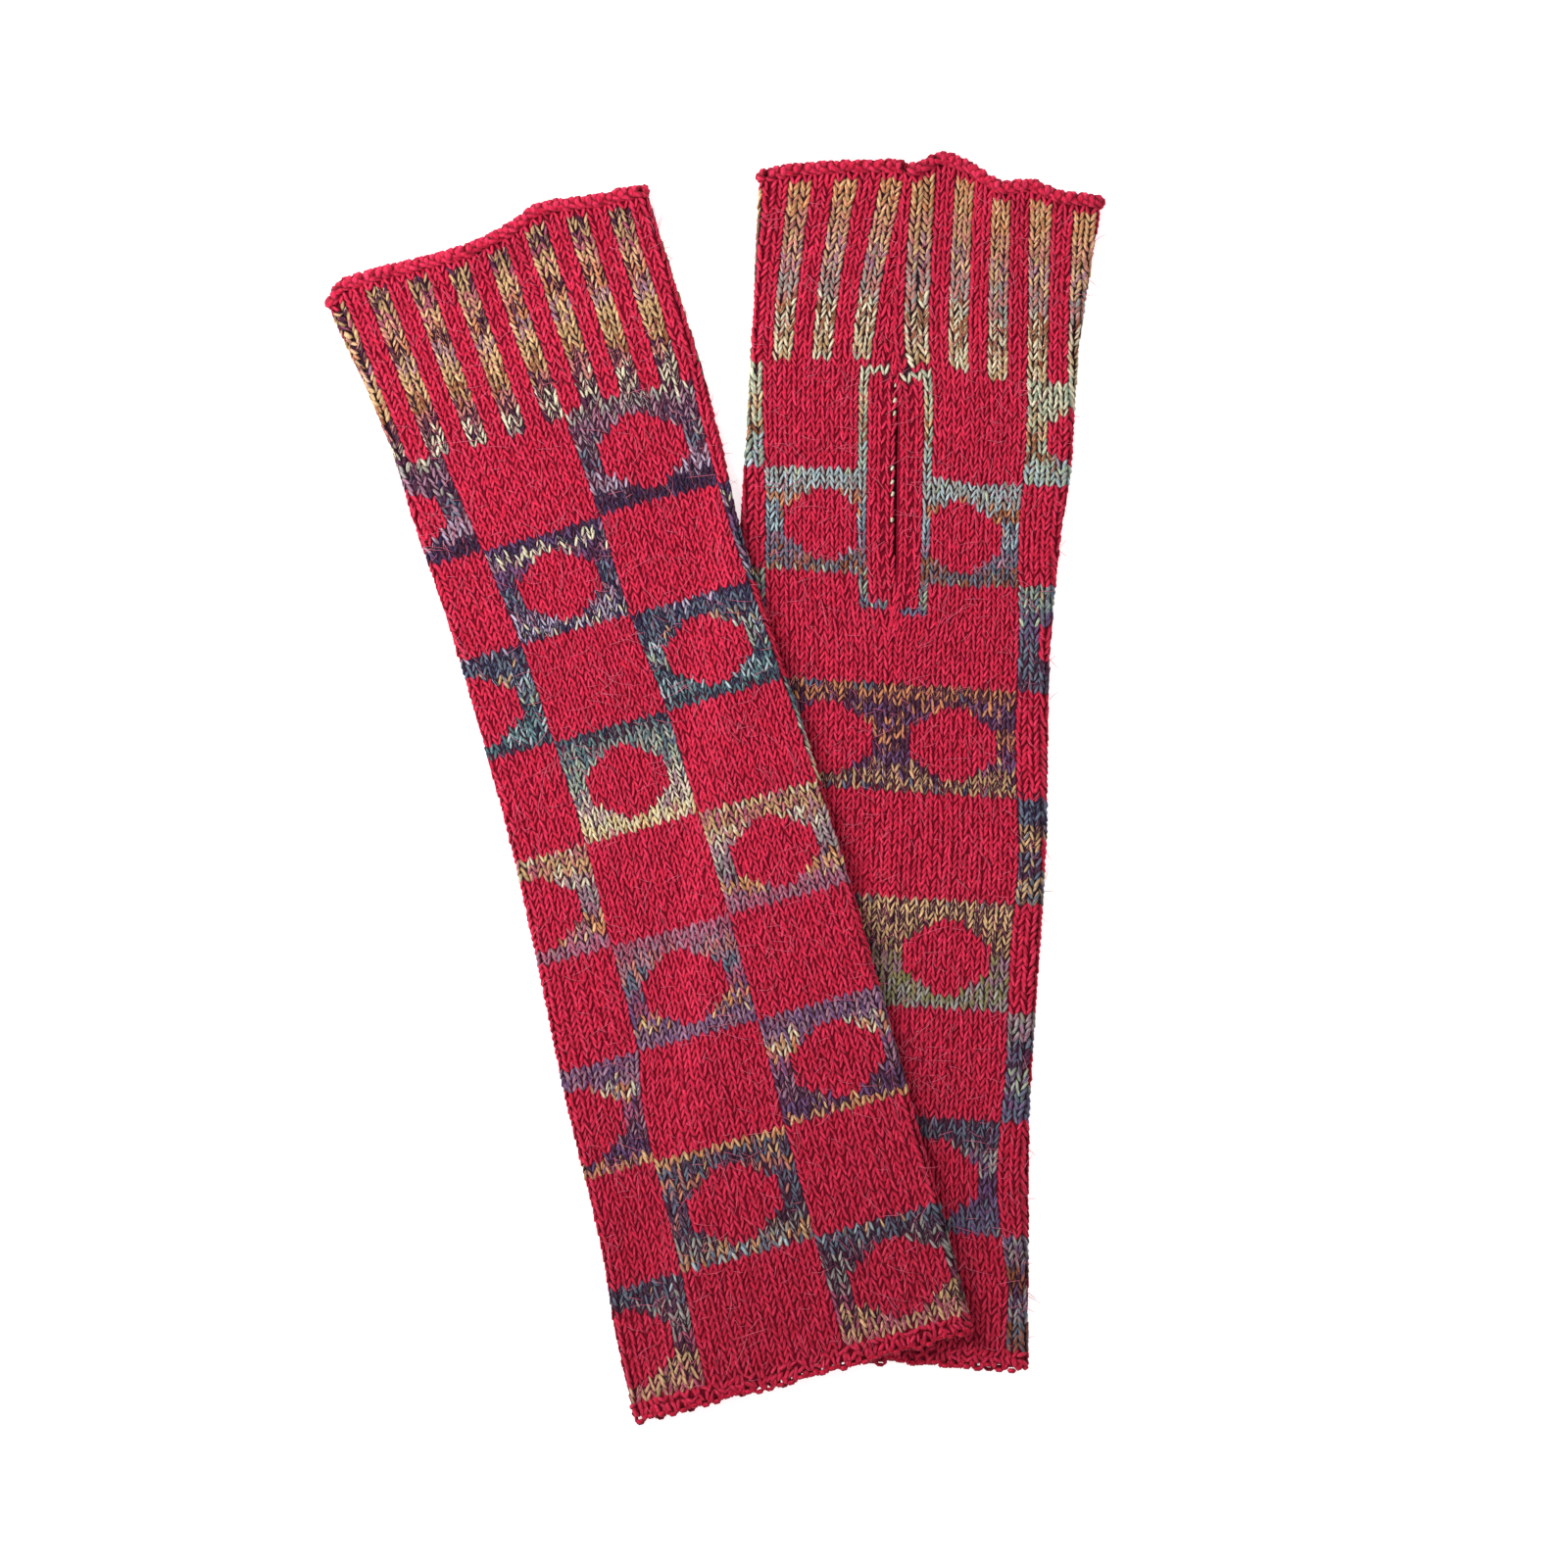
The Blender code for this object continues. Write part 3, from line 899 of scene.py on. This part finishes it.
class KNIT_OT_stage(bpy.types.Operator):
    """Adds the pale floor, the soft lamp, the room light and the camera overhead"""

    bl_idname = "knit.stage"
    bl_label = "Stage"

    def execute(self, context):
        settings = context.scene.knit_stage
        scene = context.scene
        scene.view_settings.view_transform = "Standard"
        bpy.ops.object.select_all(action="DESELECT")
        bpy.ops.mesh.primitive_plane_add(size=6.0, location=(0, 0, 0))
        floor = context.active_object
        floor.name = "floor"
        paper = bpy.data.materials.new("matt_paper")
        paper.use_nodes = True
        shader = paper.node_tree.nodes["Principled BSDF"]
        shader.inputs["Base Color"].default_value = (*settings.floor_colour, 1.0)
        shader.inputs["Roughness"].default_value = 1.0
        shader.inputs["Specular IOR Level"].default_value = 0.0
        shader.inputs["Emission Color"].default_value = (1.0, 1.0, 1.0, 1.0)
        shader.inputs["Emission Strength"].default_value = settings.floor_glow
        floor.data.materials.append(paper)
        world = bpy.data.worlds.new("even_room")
        world.use_nodes = True
        back = world.node_tree.nodes["Background"]
        back.inputs["Color"].default_value = (1.0, 1.0, 1.0, 1.0)
        back.inputs["Strength"].default_value = settings.room_light
        scene.world = world
        lamp = bpy.data.lights.new("soft_lamp", "AREA")
        lamp.energy = settings.lamp_power
        lamp.shape = "DISK"
        lamp.size = LAMP_WIDTH
        holder = bpy.data.objects.new("soft_lamp", lamp)
        holder.location = LAMP_PLACE
        holder.rotation_euler = (-holder.location).to_track_quat("-Z", "Y").to_euler()
        scene.collection.objects.link(holder)
        camera = bpy.data.cameras.new("overhead")
        camera.lens = LENS
        camera.sensor_width = SENSOR
        camera.clip_start = 0.05
        camera.clip_end = 20.0
        rig = bpy.data.objects.new("overhead", camera)
        rig.location = (*VIEW_CENTRE, CLOTH_HEIGHT + VIEW_WIDTH * LENS / SENSOR)
        scene.collection.objects.link(rig)
        scene.camera = rig
        return {"FINISHED"}


def shell(name):
    """The fabric's ground: a thin closed wall just under the stitches."""
    warmer = WARMERS[name]
    rows = np.linspace(0.9, ROWS - 0.2, GROUND_CELLS[0])
    wales = np.linspace(0.0, 1.0, GROUND_CELLS[1])
    along = row_place(rows)
    first, last = seam_wales(warmer, along)
    grid_w = first[:, None] + (last - first)[:, None] * wales[None]
    grid_r = np.broadcast_to(rows[:, None], grid_w.shape)
    outer, inner = (
        cloth_point(warmer, grid_w, grid_r, out).reshape(-1, 3) for out in GROUND_OUT
    )
    m, n = grid_w.shape
    index = np.arange(m * n).reshape(m, n)
    a, b = index[:-1, :-1].ravel(), index[:-1, 1:].ravel()
    c, d = index[1:, 1:].ravel(), index[1:, :-1].ravel()
    far = m * n
    front = np.stack([a, b, c, d], -1)
    rim = np.concatenate([index[0], index[1:, -1], index[-1, -2::-1], index[-2:0:-1, 0]])
    after = np.roll(rim, -1)
    back = np.stack([d, c, b, a], -1) + far
    side = np.stack([after, rim, rim + far, after + far], -1)
    marled = np.array([
        is_marled(min(int(w), WALES - 1), min(int(r), ROWS - 1))
        for w, r in zip(grid_w.ravel(), grid_r.ravel())
    ])
    shade = np.where(marled[:, None], linear("3A2430"), linear("7A0C24"))
    shade = np.concatenate([shade, shade])
    return mesh_from(
        name + "_fabric_ground", np.concatenate([outer, inner]), [front, back, side],
        material_named("wool_ground", wool_ground), {"ply_a": shade},
    )


def face_out(obj):
    """Turns a closed mesh's faces outwards if its signed volume is negative."""
    mesh = obj.data
    mesh.calc_loop_triangles()
    count = len(mesh.loop_triangles)
    tri = np.zeros(count * 3, np.int32)
    mesh.loop_triangles.foreach_get("vertices", tri)
    co = np.zeros(len(mesh.vertices) * 3, np.float32)
    mesh.vertices.foreach_get("co", co)
    p = co.reshape(-1, 3).astype(float)[tri.reshape(-1, 3)]
    volume = (p[:, 0] * np.cross(p[:, 1], p[:, 2])).sum()
    if volume < 0:
        mesh.flip_normals()
    return obj


class KNIT_OT_ground(bpy.types.Operator):
    """Makes the thin fabric wall that lies under the stitches of each arm warmer"""

    bl_idname = "knit.ground"
    bl_label = "Fabric ground"

    def execute(self, context):
        for name in ("under", "over"):
            made = face_out(shell(name))
            hang_on(made)
            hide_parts(name + "_body")
        return {"FINISHED"}


def stitch_strands(name, wales, seen, settings, rng):
    """Both strands of every stitch in a strip of wales."""
    warmer = WARMERS[name]
    w, r = np.meshgrid(np.array(list(wales), float), np.arange(1, ROWS, dtype=float))
    w, r = w.ravel(), r.ravel()
    along = row_place(r + 0.5)
    first, last = seam_wales(warmer, along)
    keep = (w + 0.5 > first - TUCK) & (w + 0.5 < last + TUCK)
    w, r = w[keep], r[keep]
    side = np.repeat([-1.0, 1.0], len(w))
    w, r = np.tile(w, 2), np.tile(r, 2)
    slit = (r >= SLIT_ROWS[0]) & (r < SLIT_ROWS[1])
    from_seam = np.minimum(w, WALES - 1 - w)
    # One dropped strand in every other row beside the thumb slit leaves a ladder of holes
    ladder = slit & (from_seam == 1) & (side > 0) & (r % 2 == 0)
    # The innermost strand of the right half turns in, which leaves a dark groove
    turned_in = slit & (w == 0) & (side < 0)
    kept = ~(ladder | turned_in)
    w, r, side, slit = w[kept], r[kept], side[kept], slit[kept]
    count = len(w)
    # The carried marled yarn peeps out beside the slit in every other row
    at_slit = (w == WALES - 1) & (side > 0) & (rng.random(count) < BLIP_SHARE)
    blip = slit & at_slit & (r % 2 == 1) & (r > BLIP_FROM_ROW)
    jitter = rng.normal(0, 1, (4, count))
    place_w = w + 0.5 + side * STRAND_APART + jitter[0] * 0.04
    place_r = r + 0.5 + jitter[1] * 0.10
    stripe = (r >= CHECK_TOP) & (w % STRIPE_REPEAT >= 2)
    out = STITCH_OUT + STRIPE_OUT * stripe + 0.1 * blip + jitter[2] * 0.07
    here, wale_step, row_step, outward = cloth_frame(warmer, place_w, place_r, out)
    # A V: both strands of a stitch meet at its foot
    lean = STRAND_LEAN + jitter[3] * 0.06
    axis = row_step + wale_step * (side * lean)[:, None]
    # The first rows curl and felt together, so their strands point every way
    hem = r < HEM_ROWS
    matted = row_step + wale_step * rng.normal(0, HEM_LEAN, count)[:, None]
    axis = np.where(hem[:, None], matted, axis)
    length = np.linalg.norm(row_step, axis=-1) * settings.strand_overlap
    length = length * np.where(blip, 0.5, 1.0) * np.where(hem, 0.9, 1.0)
    gauge = np.clip(np.linalg.norm(wale_step, axis=-1) / USUAL_WALE, 0.7, 1.3)
    radius = settings.strand_radius * gauge * (1 + rng.normal(0, 0.11, count))
    radius = radius * np.where(hem, 1.25, 1.0)
    a, b = chart_colours(name, w, r, rng)
    a[blip, :3] = b[blip] = YARN_LIGHT["cream"]
    sides, rings = (5, 2) if seen else (4, 1)
    arrays = strand_arrays(
        here, axis, outward, length, radius, STITCH_SINK, STITCH_TILT, sides, rings,
        wale_step * (side * 0.05 + rng.normal(0, 0.025, count))[:, None],
    )
    per = arrays[4]
    return arrays, {"ply_a": np.repeat(a, per, 0), "ply_b": np.repeat(b, per, 0)}


class KNIT_OT_stitches(bpy.types.Operator):
    """Knits the striped and checked stockinette of both arm warmers, in strips of wales"""

    bl_idname = "knit.stitches"
    bl_label = "Stitches"

    def execute(self, context):
        settings = context.scene.knit_yarn
        wool = material_named("marled_wool", marled_wool, settings)
        for k, name in enumerate(("under", "over")):
            for g, (part, wales, seen) in enumerate(wale_groups(name)):
                rng = np.random.default_rng(100 * k + g + STITCH_SEED)
                arrays, colours = stitch_strands(name, wales, seen, settings, rng)
                points, faces, uv, cell, _ = arrays
                made = mesh_from(
                    f"{name}_{part}_stitches", points, faces, wool, colours, uv, cell,
                )
                hang_on(made)
        return {"FINISHED"}


# Courses round the rolled edge, by their angle from its outermost line: bumps on the
# outside, and long strands that slant like a cord's on the side towards the cloth. Each
# kind is (wale shift, distance from the middle, part along, part round, length, radius).
BUMP = (0.0, 1.2 * MM, 0.35, 0.9, 3.1 * MM, 1.18 * MM)
CORD = (0.0, 1.3 * MM, 0.95, 0.32, 4.3 * MM, 0.9 * MM)
ROLL_SINK = (0.5 * MM, 0.5 * MM)
ROLL_COURSES = (
    (-95, BUMP), (-50, BUMP), (-5, BUMP), (40, BUMP), (85, BUMP),
    (120, CORD), (155, CORD), (200, CORD), (235, CORD),
)


def roll_path(warmer, wale):
    """The middle of the rolled edge, and its directions along, up the arm and outwards."""
    row = ROWS + ROLL_RADIUS / TOP_ROW
    here, wale_step, row_step, outward = cloth_frame(warmer, wale, row, 0.0)
    return here, unit(wale_step), unit(row_step), outward


def wales_round(warmer, along):
    """The wales that the seam leaves free at a height on the arm."""
    first, last = seam_wales(warmer, along)
    return np.arange(math.ceil(first), math.floor(last), 1.0)


def edge_mesh(name, courses, reds, settings, rng):
    """One piece of plain red yarn from courses of strands, each coloured as it is drawn."""
    parts, colours = [], {"ply_a": [], "ply_b": []}
    for arrays in courses:
        count = len(arrays[0]) // arrays[4]
        a, b = red_plies(reds, count, rng)
        parts.append(arrays)
        colours["ply_a"].append(np.repeat(with_seed(a, rng), arrays[4], 0))
        colours["ply_b"].append(np.repeat(b, arrays[4], 0))
    points, faces, uv, cell = join_arrays(parts)
    merged = {key: np.concatenate(value) for key, value in colours.items()}
    wool = material_named("marled_wool", marled_wool, settings)
    return mesh_from(name, points, faces, wool, merged, uv, cell)


def roll_courses(name, rng):
    """Strands of the rolled edge, a course at a time round its section."""
    warmer = WARMERS[name]
    wales = wales_round(warmer, LENGTH)
    for degrees, kind in ROLL_COURSES:
        angle = math.radians(degrees)
        share, reach, along_part, round_part, size, half = kind
        offset = 0.5 * (degrees % 2) + share
        w = wales + offset + rng.normal(0, 0.09, len(wales))
        here, along, up, outward = roll_path(warmer, w)
        radial = up * math.cos(angle) + outward * math.sin(angle)
        tangent = outward * math.cos(angle) - up * math.sin(angle)
        centre = here + radial * (reach + rng.normal(0, 0.14, len(w)) * MM)[:, None]
        axis = along * (along_part + rng.normal(0, 0.12, len(w)))[:, None]
        axis = axis + tangent * round_part
        length = size * (1 + rng.normal(0, 0.08, len(w)))
        radius = half * (1 + rng.normal(0, 0.09, len(w)))
        yield strand_arrays(
            centre, axis, radial, length, radius, ROLL_SINK, 0.0, 6, 2,
        )


class KNIT_OT_rolled_edges(bpy.types.Operator):
    """Curls the bind-off edge at the hand end of each arm warmer into a roll"""

    bl_idname = "knit.rolled_edges"
    bl_label = "Rolled edges"

    def execute(self, context):
        for name, rng in each_warmer(ROLL_SEED):
            made = edge_mesh(
                name + "_rolled_edge", roll_courses(name, rng), CROWN_REDS,
                context.scene.knit_yarn, rng,
            )
            hang_on(made)
            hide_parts(name + "_top_roll")
        return {"FINISHED"}


# The three strands of a cast-on loop: where each lies in its wale and row, and its slant
LOOP_STRANDS = (
    (0.10, 0.65, 0.10, 1.0), (0.50, 0.05, 1.0, 0.0), (0.90, 0.65, -0.10, 1.0),
)
LOOP_LENGTH = 2.7 * MM
LOOP_RADIUS = 0.76
LOOP_SINK = (0.15 * MM, 0.15 * MM)


def hem_courses(name, rng):
    """Open loops of the cast-on edge, each an arch of three strands round a pinhole."""
    warmer = WARMERS[name]
    wales = wales_round(warmer, 0.0)
    drop = 0.15 + rng.normal(0, 0.2, len(wales))
    closed = 0.35 * (rng.random(len(wales)) > OPEN_LOOPS)
    for x, up, across, along in LOOP_STRANDS:
        height = up + drop + closed * (up < 0.5)
        out = 0.25 + rng.normal(0, 0.05, len(wales))
        here, wale_step, row_step, outward = cloth_frame(warmer, wales + x, height, out)
        axis = wale_step * across + row_step * along
        length = np.full(len(wales), LOOP_LENGTH)
        radius = (LOOP_RADIUS + rng.normal(0, 0.07, len(wales))) * MM
        yield strand_arrays(
            here, axis, outward, length, radius, LOOP_SINK, 0.0, 5, 2,
        )


class KNIT_OT_hems(bpy.types.Operator):
    """Makes the open cast-on loops along the lower edge of each arm warmer"""

    bl_idname = "knit.hems"
    bl_label = "Hems"

    def execute(self, context):
        for name, rng in each_warmer(HEM_SEED):
            made = edge_mesh(
                name + "_hem_loops", hem_courses(name, rng), HEM_REDS,
                context.scene.knit_yarn, rng,
            )
            hang_on(made)
            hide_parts(name + "_hem")
        return {"FINISHED"}


def hair_arrays(start, direction, bend, lift, length, radius):
    """Thin three-sided fibres on a curve of four points, which rise and come down."""
    count = len(start)
    steps = np.array([0.0, 0.33, 0.68, 1.0])
    thick = np.array([1.0, 1.0, 0.8, 0.25])
    rise = np.array([0.0, 0.75, 1.0, 0.45])
    up = np.array([0.0, 0.0, 1.0])
    points = []
    for s, t, h in zip(steps, thick, rise):
        middle = (
            start + direction * (length * s)[:, None]
            + bend * (length * s * s * 0.5)[:, None] + lift * h
        )
        beside = unit(np.cross(direction, up))
        for k in range(3):
            angle = 2 * np.pi * k / 3
            points.append(
                middle + beside * (math.cos(angle) * radius * t)
                + up * (math.sin(angle) * radius * t)
            )
    per = len(points)
    points = np.stack(points, 1).reshape(-1, 3)
    quads = []
    for s in range(3):
        for k in range(3):
            j = (k + 1) % 3
            quads.append((s * 3 + k, s * 3 + j, s * 3 + 3 + j, s * 3 + 3 + k))
    tris = [(2, 1, 0), (9, 10, 11)]
    return points, [repeated(block, count, per) for block in (quads, tris)]


def brushed_mohair(name):
    """Single mohair fibres, teased out of the red yarn and paler where they catch light."""
    material = bpy.data.materials.new(name)
    material.use_nodes = True
    shader = material.node_tree.nodes["Principled BSDF"]
    shader.inputs["Base Color"].default_value = (*linear("E06A84"), 1.0)
    shader.inputs["Roughness"].default_value = 0.6
    shader.inputs["Specular IOR Level"].default_value = 0.4
    return material


class KNIT_OT_mohair(bpy.types.Operator):
    """Lays loose mohair fibres over the cloth, shorter ones near either end of the arm"""

    bl_idname = "knit.mohair"
    bl_label = "Mohair"

    def execute(self, context):
        settings = context.scene.knit_yarn
        count = settings.hairs
        for name, rng in each_warmer(HAIR_SEED):
            w = rng.uniform(0.8, WALES - 0.8, count)
            r = rng.uniform(1.5, ROWS - 1.0, count)
            here, _, _, outward = cloth_frame(WARMERS[name], w, r, HAIR_OUT)
            turn = rng.uniform(0, 2 * np.pi, count)
            direction = np.stack([np.cos(turn), np.sin(turn), 0 * turn], -1)
            bend = np.cross(direction, (0.0, 0.0, 1.0)) * rng.normal(0, 0.6, count)[:, None]
            length = settings.hair_length * np.clip(rng.lognormal(0, 0.5, count), 0.3, 2.4)
            # A hair near either end of the arm stays within about a millimetre of it
            past_end = (np.minimum(r, ROWS - r) * 1.9 + 1.2) * MM
            length = np.minimum(length, past_end)
            here[:, 2] = np.maximum(here[:, 2], HAIR_LOWEST)
            rise = outward * HAIR_RISE
            rise[:, 2] = np.abs(rise[:, 2])
            made = mesh_from(
                name + "_mohair",
                *hair_arrays(here, direction, bend, rise, length, HAIR_RADIUS),
                material_named("brushed_mohair", brushed_mohair), {},
            )
            hang_on(made)
        return {"FINISHED"}


class KNIT_OT_declare(bpy.types.Operator):
    """Does nothing: no cut size is declared for the fabric"""

    bl_idname = "knit.declare"
    bl_label = "Cut sizes"

    def execute(self, context):
        return {"FINISHED"}


class KNIT_PT_panel(bpy.types.Panel):
    """Lists the pieces in the order in which they are made"""

    bl_idname = "KNIT_PT_panel"
    bl_label = "Arm warmers"
    bl_space_type = "VIEW_3D"
    bl_region_type = "UI"
    bl_category = "Knitting"

    def draw(self, context):
        for group in (context.scene.knit_yarn, context.scene.knit_stage):
            for key in group.__annotations__:
                self.layout.prop(group, key)
        for made in OPERATORS:
            self.layout.operator(made.bl_idname)


OPERATORS = (
    KNIT_OT_stage, KNIT_OT_ground, KNIT_OT_stitches, KNIT_OT_rolled_edges,
    KNIT_OT_hems, KNIT_OT_mohair, KNIT_OT_declare,
)
CLASSES = (KnitSettings, StageSettings, *OPERATORS, KNIT_PT_panel)


def register():
    for made in CLASSES:
        bpy.utils.register_class(made)
    bpy.types.Scene.knit_yarn = PointerProperty(type=KnitSettings)
    bpy.types.Scene.knit_stage = PointerProperty(type=StageSettings)


def unregister():
    del bpy.types.Scene.knit_stage
    del bpy.types.Scene.knit_yarn
    for made in reversed(CLASSES):
        bpy.utils.unregister_class(made)


def main():
    register()
    bpy.ops.knit.stage()
    bpy.ops.knit.ground()
    bpy.ops.knit.stitches()
    bpy.ops.knit.rolled_edges()
    bpy.ops.knit.hems()
    bpy.ops.knit.mohair()
    bpy.ops.knit.declare()


if __name__ == "__main__":
    main()
